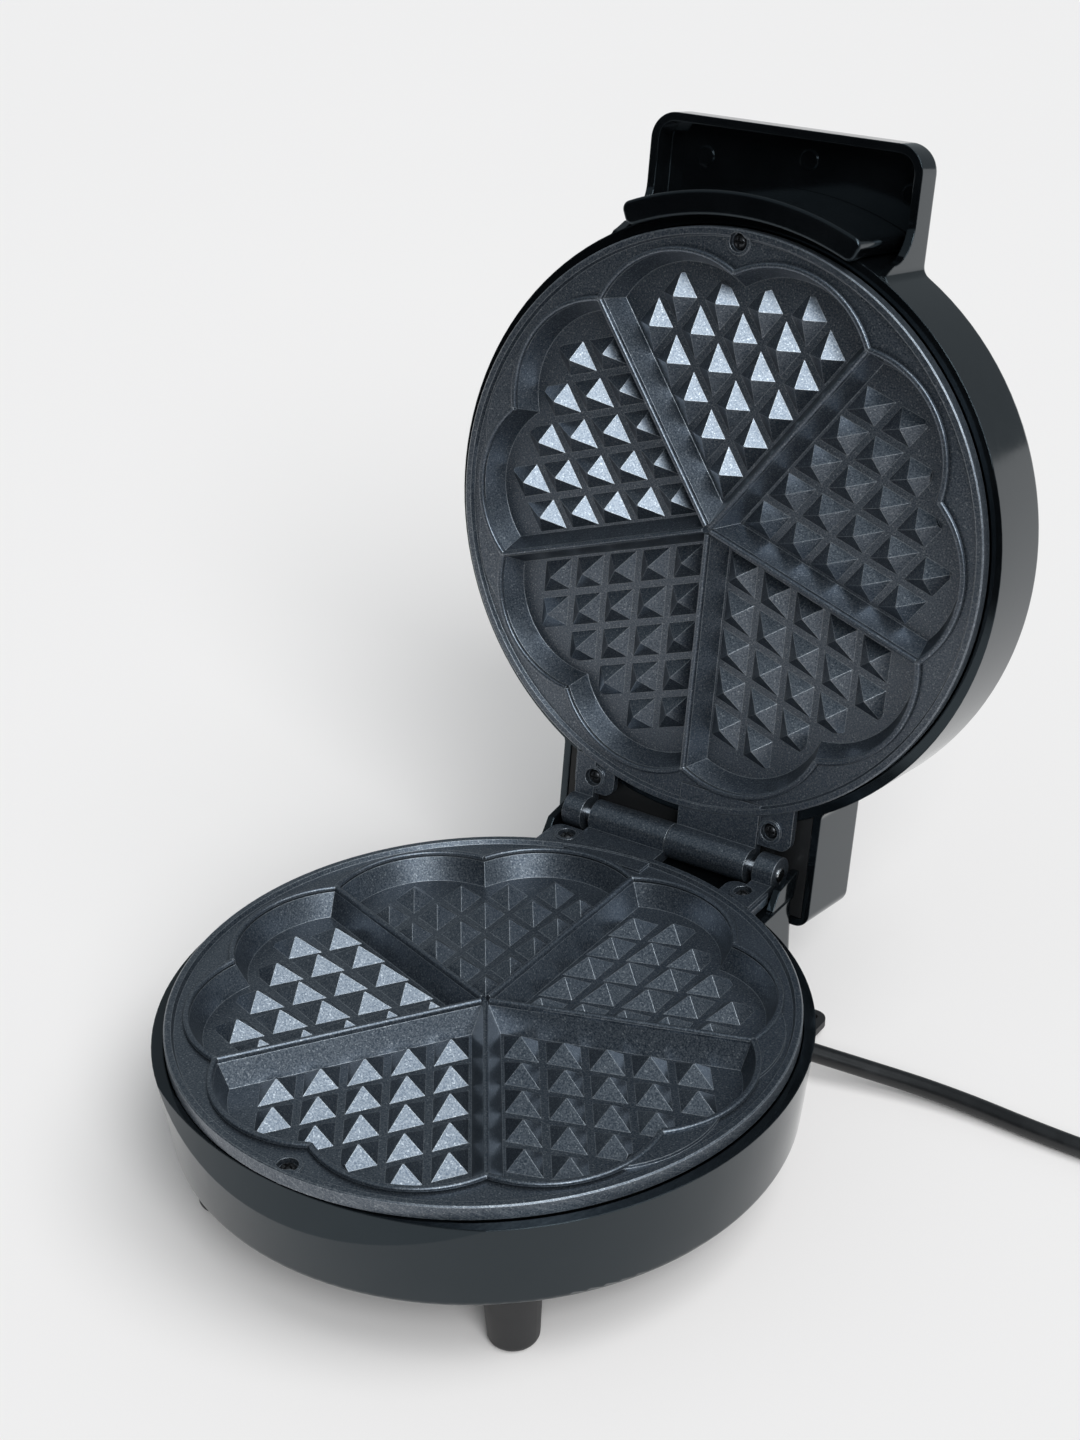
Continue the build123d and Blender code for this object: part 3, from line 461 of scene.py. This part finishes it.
class Finishes:
    """Every finish of the object, built once."""

    def __init__(self) -> None:
        """Build the materials by name."""
        black = (0.0065, 0.0066, 0.0070)
        self.plates = {half: NonStick(half).build() for half in Half}
        self.gloss = GlossPlastic().build()
        self.handle = GlossPlastic("gloss_handle", gloss=0.06, edge=0.0008).build()
        self.matt = Satin("matt_plastic", black, (0.013, 0.0132, 0.0138), (0.34, 0.46)).build()
        self.rubber = Satin("rubber", (0.008, 0.008, 0.0085), (0.016, 0.016, 0.017), (0.42, 0.52)).build()
        self.screws = Satin(
            "blackened_screw", (0.015, 0.016, 0.018), (0.05, 0.052, 0.056), (0.22, 0.36), 0.75
        ).build()
        self.nickel = Satin(
            "nickel", (0.40, 0.41, 0.42), (0.52, 0.53, 0.54), (0.16, 0.30), 1.0, 900.0, 0.00001
        ).build()
        self.tube = Satin(
            "heater_tube", (0.05, 0.052, 0.048), (0.12, 0.12, 0.115), (0.42, 0.60), 0.8
        ).build()
        self.sheet = Satin(
            "mill_sheet", (0.50, 0.51, 0.52), (0.64, 0.65, 0.66), (0.26, 0.40), 1.0, 500.0, 0.00001
        ).build()
        self.white = Satin("white_plastic", (0.62, 0.61, 0.57), (0.70, 0.69, 0.65), (0.38, 0.50)).build()
        self.sleeve = Satin(
            "woven_sleeve", (0.42, 0.42, 0.40), (0.62, 0.62, 0.60), (0.62, 0.75), 0.0, 2200.0, 0.0001
        ).build()
        self.brass = Satin(
            "plated_brass", (0.55, 0.45, 0.25), (0.66, 0.55, 0.32), (0.18, 0.30), 1.0, 900.0, 0.00001
        ).build()
        self.strap = Satin(
            "woven_strap", (0.010, 0.010, 0.011), (0.030, 0.030, 0.032), (0.70, 0.85), 0.0, 2600.0, 0.0001
        ).build()
        self.lens = Lens().build()
        self.jacket = LeadJacket().build()


def dress(finish: bpy.types.Material, *nodes: str) -> None:
    """Give CAD nodes one finish.

    Args:
        finish: the material.
        nodes: the nodes' names.
    """
    for name in nodes:
        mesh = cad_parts[name].data
        if not mesh.materials:
            mesh.materials.append(finish)
        for k in range(len(mesh.materials)):
            mesh.materials[k] = finish
        LOG.info("%s wears %s", name, finish.name)


def refined(finish: bpy.types.Material, half: Half, slot: str, *nodes: str) -> None:
    """Stand a copy of each node in its place, with its loose triangles joined.

    Edges sharper than SHARP_SOLID stay sharp, and every other normal is the mean of the faces
    round it weighted by their area, so flat faces look flat beside small roundings.

    Args:
        finish: the material.
        half: the half that it rides on.
        slot: not used.
        nodes: the nodes' names.
    """
    for name in nodes:
        work = bmesh.new()
        work.from_mesh(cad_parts[name].data)
        bmesh.ops.remove_doubles(work, verts=work.verts, dist=WELD)
        corners = np.array([v.co for v in work.verts])
        faces = [tuple(v.index for v in face.verts) for face in work.faces]
        work.free()
        piece = new_piece(f"{name}_finished", corners, faces, finish, half)
        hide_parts(name)
        piece.data.set_sharp_from_angle(angle=radians(SHARP_SOLID))
        weighted = piece.modifiers.new("flat_faces", "WEIGHTED_NORMAL")
        weighted.keep_sharp = True
        LOG.info("%s: %d faces, %s", piece.name, len(faces), finish.name)


def new_piece(
    name: str,
    corners: np.ndarray,
    faces: list[tuple[int, ...]],
    finish: bpy.types.Material,
    half: Half,
) -> bpy.types.Object:
    """Make one smooth-shaded piece that rides on a half.

    Args:
        name: its name.
        corners: its points, in metres in the frame at rest.
        faces: corner numbers, facing outwards.
        finish: the material.
        half: the half that it rides on.

    Returns:
        The object, at the origin.
    """
    mesh = bpy.data.meshes.new(name)
    mesh.from_pydata(corners.tolist(), [], faces)
    mesh.shade_smooth()
    mesh.materials.append(finish)
    piece = bpy.data.objects.new(name, mesh)
    bpy.context.scene.collection.objects.link(piece)
    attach(piece, half.value)
    return piece


# Sub-assemblies


@dataclass
class MainsLead:
    """The lead from its strain relief across the table to the wound-up rest and the plug."""

    finishes: Finishes
    diameter: float = 0.0063
    length: float = 0.937
    route: tuple[Point, ...] = (
        (0.0455, 0.0408, 0.0121),
        (0.0780, 0.0485, 0.0078),
        (0.1125, 0.0552, 0.0043),
        (0.1510, 0.0536, 0.0033),
        (0.1970, 0.0545, 0.0033),
        (0.2397, 0.0545, 0.0033),
    )
    coil_x: float = 0.2460
    coil_y: float = 0.0978
    low_z: float = 0.0033
    layer: float = 0.0072
    per_half: int = 8
    inward: tuple[float, ...] = (0.0433, -0.0396, 0.0359, -0.0322)
    outward: tuple[float, ...] = (0.0285, -0.0359, 0.0396)
    tail_flat: float = 0.014
    tail_middle: float = 0.030
    tail_top: float = 0.047
    plug_start: float = 0.3080
    plug_z: float = 0.0186

    def half_turn(self, start: float, end: float, low: float, high: float, side: int) -> np.ndarray:
        """Control points of half a turn, on a circle a little wider than the wire's own.

        The angle goes evenly from one crossing of the middle line to the next, the centre is
        midway, and a quadratic spline runs inside its points by the cosine of half their spacing.

        Args:
            start: offset towards the front where it begins.
            end: offset where it ends.
            low: height at its start.
            high: height at its end.
            side: 1 where it swings to +X and -1 where it swings to -X.

        Returns:
            Its points, without its last.
        """
        share = np.arange(self.per_half) / self.per_half
        angle = share * pi
        spacing = pi / self.per_half
        wider = 2.0 / (1.0 + cos(spacing / 2))
        reach = abs(start - end) / 2 * wider
        middle = (start + end) / 2
        facing = np.sign(start - end)
        x = self.coil_x + side * reach * np.sin(angle)
        y = self.coil_y - middle - facing * reach * np.cos(angle)
        return np.stack([x, y, low + (high - low) * share], axis=1)

    def points(self) -> np.ndarray:
        """The whole lead's control points: the laid route, the wound turns and the rise to the plug."""
        high_z = self.low_z + self.layer
        parts = [np.array(self.route)]
        sides = (1, -1, 1)
        for side, start, end in zip(sides, self.inward, self.inward[1:]):
            parts.append(self.half_turn(start, end, self.low_z, self.low_z, side))
        parts.append(self.half_turn(self.inward[-1], self.outward[0], self.low_z, high_z, -1))
        for side, start, end in zip((1, -1), self.outward, self.outward[1:]):
            parts.append(self.half_turn(start, end, high_z, high_z, side))
        tail_y = self.coil_y - self.outward[-1]
        tail = (
            (self.coil_x, tail_y, high_z),
            (self.coil_x + self.tail_flat, tail_y, high_z),
            (self.coil_x + self.tail_middle, tail_y, (high_z + self.plug_z) / 2),
            (self.coil_x + self.tail_top, tail_y, self.plug_z),
            (self.plug_start, tail_y, self.plug_z),
        )
        parts.append(np.array(tail))
        return np.concatenate(parts)

    def build(self) -> bpy.types.Object:
        points = self.points()
        curve = bpy.data.curves.new("mains_lead", "CURVE")
        curve.dimensions = "3D"
        curve.bevel_depth = self.diameter / 2
        curve.bevel_resolution = 6
        curve.use_fill_caps = True
        curve.resolution_u = 8
        spline = curve.splines.new("NURBS")
        spline.points.add(len(points) - 1)
        spline.points.foreach_set("co", np.column_stack([points, np.ones(len(points))]).ravel())
        spline.order_u = 3
        spline.use_endpoint_u = True
        curve.materials.append(self.finishes.jacket)
        lead = bpy.data.objects.new("mains_lead", curve)
        bpy.context.scene.collection.objects.link(lead)
        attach(lead, "base")
        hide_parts("power_cord", "cord_coil")
        tie = CoilTie(self.finishes.strap).build()
        dress(self.finishes.rubber, "plug_body", "strain_relief")
        dress(self.finishes.nickel, "plug_pins")
        dress(self.finishes.brass, "plug_earth_clips")
        LOG.info("mains_lead: %d control points", len(points))
        return lead


@dataclass
class CookingPlates:
    """Both coated plates, their screws, the hinge pin and all that hangs on the plates' backs."""

    finishes: Finishes

    def build(self) -> None:
        """Dress the plates and their fixings."""
        refined(self.finishes.plates[Half.BASE], Half.BASE, "coating", "lower_plate")
        refined(self.finishes.plates[Half.LID], Half.LID, "coating", "upper_plate")
        dress(self.finishes.screws, "lower_plate_screws", "upper_plate_screws", "rear_cover_screws")
        dress(self.finishes.nickel, "hinge_pin", "lower_clamp_screws", "upper_clamp_screws")
        dress(self.finishes.tube, "lower_element", "upper_element")
        dress(self.finishes.sheet, "lower_element_bracket", "upper_element_bracket")
        dress(self.finishes.sheet, "lower_reflector", "upper_reflector", "thermal_fuse")
        dress(self.finishes.white, "thermostat", "terminal_block")
        dress(self.finishes.sleeve, "base_wiring", "lid_wiring")


@dataclass
class HeartRibs:
    """The rounded ribs that stand along the bars and round the lobes of each plate's five hearts."""

    finishes: Finishes
    hearts: int = 5
    lobe_x: float = 0.053
    lobe_y: float = 0.0173
    lobe_r: float = 0.03492
    half_width: float = 0.0010
    lobe_foot: float = 0.0572
    bar_foot: float = 0.0562
    crest: float = 0.0583
    bar_start: float = 0.0015
    lobe_steps: int = 40
    round_steps: int = 10
    side_power: float = 0.8
    crest_power: float = 0.6
    wall_top: tuple[float, float] = (0.034, 0.0565)
    wall_slope: float = 3.4 / 7.5
    band: tuple[float, float] = (0.0522, 0.0539)
    band_half_angle: float = 0.29
    band_inset: float = 0.00005

    def ridge(self, line: np.ndarray, foot: float) -> tuple[np.ndarray, np.ndarray]:
        """One rib with a rounded crest along a flat line, closed underneath and at both ends.

        A section is a half superellipse: across = a * cos(t) ** side_power and
        up = h * sin(t) ** crest_power, with each power taken of the absolute value and given its
        sign back.

        Args:
            line: the points of its middle line, as X and Y.
            foot: the height of its underside.

        Returns:
            Its corners and its triangles, facing outwards.
        """
        along = np.gradient(line, axis=0)
        along /= np.linalg.norm(along, axis=1)[:, None]
        left = np.stack([-along[:, 1], along[:, 0]], axis=1)
        t = np.linspace(0.0, pi, self.round_steps)
        across = self.half_width * np.sign(np.cos(t)) * np.abs(np.cos(t)) ** self.side_power
        up = foot + (self.crest - foot) * np.abs(np.sin(t)) ** self.crest_power
        flat = line[:, None, :] + across[None, :, None] * left[:, None, :]
        height = np.broadcast_to(up[None, :, None], (*flat.shape[:2], 1))
        corners = np.concatenate([flat, height], axis=2).reshape(-1, 3)
        rows, columns = len(line), len(t)
        i, j = np.meshgrid(np.arange(rows - 1), np.arange(columns), indexing="ij")
        beside = (j + 1) % columns
        a, b = i * columns + j, i * columns + beside
        c, d = b + columns, a + columns
        sides = np.stack([a, b, c, a, c, d], axis=-1).reshape(-1, 3)
        fan = np.arange(1, columns - 1)
        first = np.stack([np.zeros_like(fan), fan + 1, fan], axis=1)
        last = first[:, ::-1] + (rows - 1) * columns
        return corners, np.concatenate([sides, first, last])

    def spins(self) -> list[np.ndarray]:
        """The rotations that carry the first heart, whose axis is X, to each heart's place."""
        turns = [2 * pi * k / self.hearts - pi / 2 for k in range(self.hearts)]
        return [np.array([[cos(turn), sin(turn)], [-sin(turn), cos(turn)]]) for turn in turns]

    def lines(self) -> list[tuple[np.ndarray, float]]:
        """Each rib's middle line over the base, from the plate's centre, and its foot.

        A bar's line runs out along the border of two hearts, and a lobe's arc runs from the notch
        on its heart's axis round to that border: centre + r * (cos, sin) of an even angle.

        Returns:
            The lines with the heights of their feet.
        """
        border = pi / self.hearts
        centre = np.array([self.lobe_x, self.lobe_y])
        inside = self.lobe_x * sin(border) - self.lobe_y * cos(border)
        start = -np.arcsin(self.lobe_y / self.lobe_r)
        end = border + np.arcsin(inside / self.lobe_r)
        angle = np.linspace(start, end, self.lobe_steps)
        arc = centre + self.lobe_r * np.stack([np.cos(angle), np.sin(angle)], axis=1)
        far = np.linalg.norm(arc[-1])
        reach = np.linspace(self.bar_start, far, self.lobe_steps)
        bar = reach[:, None] * np.array([cos(border), sin(border)])
        other = arc[::-1] * np.array([1.0, -1.0])
        found: list[tuple[np.ndarray, float]] = []
        for spin in self.spins():
            found.append((bar @ spin, self.bar_foot))
            found.append((arc @ spin, self.lobe_foot))
            found.append((other @ spin, self.lobe_foot))
        return found

    def wall_bands(self) -> list[tuple[np.ndarray, np.ndarray]]:
        """Narrow bands that close each lobe's sloping wall where it comes nearest to the rim.

        With the wall's radius at height z as r(z) = top + (z - z_top) * slope, a band's points are
        centre + (r(z) - inset) * (cos, sin) of even angles about the lobe's outermost point.

        Returns:
            Corners and triangles of each band, facing into the lobe.
        """
        outermost = np.arctan2(self.lobe_y, self.lobe_x)
        spread = np.linspace(-self.band_half_angle, self.band_half_angle, self.lobe_steps)
        height = np.array(self.band)
        radius = self.wall_top[0] + (height - self.wall_top[1]) * self.wall_slope - self.band_inset
        a = 2 * np.arange(self.lobe_steps - 1)
        triangles = np.stack([a, a + 1, a + 3, a, a + 3, a + 2], axis=-1).reshape(-1, 3)
        found: list[tuple[np.ndarray, np.ndarray]] = []
        for spin in self.spins():
            for side in (1, -1):
                angle = side * outermost + spread
                ways = np.stack([np.cos(angle), np.sin(angle)], axis=1)
                centre = np.array([self.lobe_x, side * self.lobe_y])
                flat = (centre + radius[None, :, None] * ways[:, None, :]) @ spin
                up = np.broadcast_to(height[None, :, None], (self.lobe_steps, 2, 1))
                found.append((np.concatenate([flat, up], axis=2).reshape(-1, 3), triangles))
        return found

    def build(self) -> None:
        """Stand the ribs on the lower plate, and turned over and swung open on the upper plate."""
        corners: list[np.ndarray] = []
        faces: list[np.ndarray] = []
        count = 0
        ridges = [self.ridge(line, foot) for line, foot in self.lines()]
        for points, triangles in [*ridges, *self.wall_bands()]:
            corners.append(points)
            faces.append(triangles + count)
            count += len(points)
        lower = np.concatenate(corners) + np.array([0.0, PLATE_CENTRE_Y, 0.0])
        shut = lower * np.array([1.0, 1.0, -1.0]) + np.array([0.0, 0.0, 2 * HINGE.z])
        swing = np.array(Matrix.Rotation(radians(-OPEN_ANGLE), 3, "X"))
        hinge = np.array(HINGE)
        opened = (shut - hinge) @ swing.T + hinge
        triangles = np.concatenate(faces)
        pieces = (
            (Half.BASE, "lower_heart_ribs", lower, triangles),
            (Half.LID, "upper_heart_ribs", opened, triangles[:, ::-1]),
        )
        for half, name, points, faced in pieces:
            finish = self.finishes.plates[half]
            piece = new_piece(name, points, [tuple(f) for f in faced.tolist()], finish, half)
            piece.data.set_sharp_from_angle(angle=radians(SHARP_PIECE))
            LOG.info("%s: %d faces", name, len(faced))


@dataclass
class CoilTie:
    """A woven strap round the wound-up lead."""

    finish: bpy.types.Material
    middle: Point = (0.2825, 0.0978, 0.0074)
    half_across: float = 0.0092
    half_high: float = 0.0073
    thickness: float = 0.0007
    width: float = 0.0080
    power: float = 0.4
    steps: int = 72

    def build(self) -> bpy.types.Object:
        """Make the strap as a closed loop with a rectangular section.

        The loop is a superellipse: x = a * cos(t) ** power and z = b * sin(t) ** power, with each
        power taken of the absolute value and given its sign back.

        Returns:
            The piece.
        """
        t = np.linspace(0.0, 2 * pi, self.steps, endpoint=False)
        x = np.sign(np.cos(t)) * np.abs(np.cos(t)) ** self.power
        z = np.sign(np.sin(t)) * np.abs(np.sin(t)) ** self.power
        rings = []
        for inset, side in ((0.0, -0.5), (0.0, 0.5), (self.thickness, 0.5), (self.thickness, -0.5)):
            ring = np.stack([x * (self.half_across - inset), 0 * x, z * (self.half_high - inset)], axis=1)
            rings.append(ring + np.array(self.middle) + np.array([0.0, side * self.width, 0.0]))
        corners = np.concatenate(rings)
        faces = []
        for k in range(4):
            for i in range(self.steps):
                n = (i + 1) % self.steps
                here, there = k * self.steps, (k + 1) % 4 * self.steps
                faces.append((here + i, there + i, there + n, here + n))
        piece = new_piece("coil_tie", corners, faces, self.finish, Half.BASE)
        piece.data.set_sharp_from_angle(angle=radians(SHARP_PIECE))
        LOG.info("coil_tie: %d faces", len(faces))
        return piece


@dataclass
class Shells:
    """The black mouldings of the base and the lid, with the feet and the lamps."""

    finishes: Finishes

    def build(self) -> None:
        """Dress the mouldings."""
        refined(self.finishes.gloss, Half.BASE, "shell", "base_shell")
        refined(self.finishes.gloss, Half.LID, "shell", "lid_shell")
        refined(self.finishes.handle, Half.LID, "matte_black", "lid_lip")
        dress(self.finishes.matt, "lid_rear_cover", "cord_clamp")
        dress(self.finishes.rubber, "front_feet", "rear_feet")
        dress(self.finishes.lens, "pilot_lamps")
        dress(self.finishes.white, "lamp_holder")


@dataclass
class Studio:
    """Pale floor, soft lights and the camera."""

    floor_size: float = 14.0
    floor_colour: Point = (0.92, 0.86, 0.83)
    floor_mottle: float = 0.985
    lamp_colour: Point = (0.92, 0.97, 1.0)
    lamp_distance: float = 2.0
    surround_colour: Point = (0.84, 0.94, 1.0)
    surround_level: float = 0.28
    backdrop_colour: Point = (0.86, 0.86, 0.86)
    flag_y: float = -0.66
    flag_bottom: float = 0.062
    flag_top: float = 0.52
    flag_half: float = 1.6
    camera_place: Point = (0.34078, -0.49612, 0.45136)
    camera_right: Point = (0.84079, 0.54136, 0.0)
    camera_back: Point = (0.47909, -0.74408, 0.46566)
    camera_roll: float = -0.138
    sensor: float = 36.0
    picture_height: int = 1440
    focal_length: float = 2235.77
    axis_shift: float = -80.0

    def floor(self) -> None:
        """One plain floor that fills the view, with a trace of mottling."""
        half = self.floor_size / 2
        corners = [(-half, -half, 0.0), (half, -half, 0.0), (half, half, 0.0), (-half, half, 0.0)]
        mesh = bpy.data.meshes.new("floor")
        mesh.from_pydata(corners, [], [(0, 1, 2, 3)])
        book = NodeBook("floor")
        mottle = book.noise(book.place(), 2.0, 2.0, 0.5)
        darker = tuple(self.floor_mottle * c for c in self.floor_colour)
        colour = book.blend(mottle, self.floor_colour, darker)
        book.surface(Base_Color=colour, Roughness=0.9, Specular_IOR_Level=0.1)
        mesh.materials.append(book.material)
        floor = bpy.data.objects.new("floor", mesh)
        bpy.context.scene.collection.objects.link(floor)

    def soft_sun(self, name: str, azimuth: float, height: float, across: float, level: float) -> None:
        """Hang one large far soft light, which lights the whole floor evenly.

        Args:
            name: its name.
            azimuth: degrees from +X towards +Y.
            height: degrees above the horizon.
            across: its width in degrees as the object sees it.
            level: its power on a surface square to it.
        """
        lamp = bpy.data.lights.new(name, "SUN")
        lamp.angle = radians(across)
        lamp.energy = level
        lamp.color = self.lamp_colour
        holder = bpy.data.objects.new(name, lamp)
        a, h = radians(azimuth), radians(height)
        out = Vector((cos(h) * cos(a), cos(h) * sin(a), sin(h)))
        facing = out.to_track_quat("Z", "Y").to_matrix().to_4x4()
        holder.matrix_world = Matrix.Translation(self.lamp_distance * out) @ facing
        bpy.context.scene.collection.objects.link(holder)

    def flag(self) -> None:
        """Stand a low dark card in front, seen only in reflections, so that black mouldings stay black."""
        half, bottom, top, y = self.flag_half, self.flag_bottom, self.flag_top, self.flag_y
        corners = [(-half, y, bottom), (half, y, bottom), (half, y, top), (-half, y, top)]
        mesh = bpy.data.meshes.new("flag")
        mesh.from_pydata(corners, [], [(0, 1, 2, 3)])
        book = NodeBook("flag")
        mottle = book.noise(book.place(), 3.0, 2.0, 0.5)
        cloth = book.blend(mottle, (0.004, 0.004, 0.0045), (0.007, 0.007, 0.0075))
        mesh.materials.append(book.surface(Base_Color=cloth, Roughness=0.95, Specular_IOR_Level=0.0))
        card = bpy.data.objects.new("flag", mesh)
        card.visible_camera = False
        card.visible_diffuse = False
        card.visible_shadow = False
        card.visible_transmission = False
        bpy.context.scene.collection.objects.link(card)

    def world(self) -> None:
        """An even pale surrounding, which the camera itself sees as the backdrop's white."""
        world = bpy.data.worlds.new("surrounding")
        world.use_nodes = True
        nodes, links = world.node_tree.nodes, world.node_tree.links
        lit = nodes["Background"]
        lit.inputs["Color"].default_value = (*self.surround_colour, 1.0)
        lit.inputs["Strength"].default_value = self.surround_level
        seen = nodes.new("ShaderNodeBackground")
        seen.inputs["Color"].default_value = (*self.backdrop_colour, 1.0)
        path = nodes.new("ShaderNodeLightPath")
        mix = nodes.new("ShaderNodeMixShader")
        links.new(path.outputs["Is Camera Ray"], mix.inputs[0])
        links.new(lit.outputs[0], mix.inputs[1])
        links.new(seen.outputs[0], mix.inputs[2])
        links.new(mix.outputs[0], nodes["World Output"].inputs["Surface"])
        bpy.context.scene.world = world

    def camera(self) -> None:
        """A camera over the front right, with its focal length and shift given in picture points."""
        right = Vector(self.camera_right)
        back = Vector(self.camera_back).normalized()
        right = (right - back * right.dot(back)).normalized()
        up = back.cross(right)
        roll = Matrix.Rotation(radians(self.camera_roll), 3, back)
        axes = roll @ Matrix((right, up, back)).transposed()
        data = bpy.data.cameras.new("camera")
        data.sensor_width = self.sensor
        data.lens = self.focal_length / self.picture_height * self.sensor
        data.shift_x = self.axis_shift / self.picture_height
        data.clip_end = 60.0
        camera = bpy.data.objects.new("camera", data)
        camera.matrix_world = Matrix.Translation(self.camera_place) @ axes.to_4x4()
        bpy.context.scene.collection.objects.link(camera)
        bpy.context.scene.camera = camera

    def build(self) -> None:
        """Set the stage."""
        self.floor()
        self.flag()
        self.soft_sun("key", azimuth=-41.0, height=37.0, across=34.0, level=2.2)
        self.soft_sun("side", azimuth=6.0, height=62.0, across=42.0, level=1.3)
        self.world()
        self.camera()
        view = bpy.context.scene.view_settings
        view.view_transform = "Standard"


def main() -> None:
    """Build the sub-assemblies in order."""
    logging.basicConfig(level=logging.INFO, format="%(name)s: %(message)s")
    finishes = Finishes()
    MainsLead(finishes).build()
    CookingPlates(finishes).build()
    HeartRibs(finishes).build()
    Shells(finishes).build()
    Studio().build()


if __name__ == "__main__":
    main()
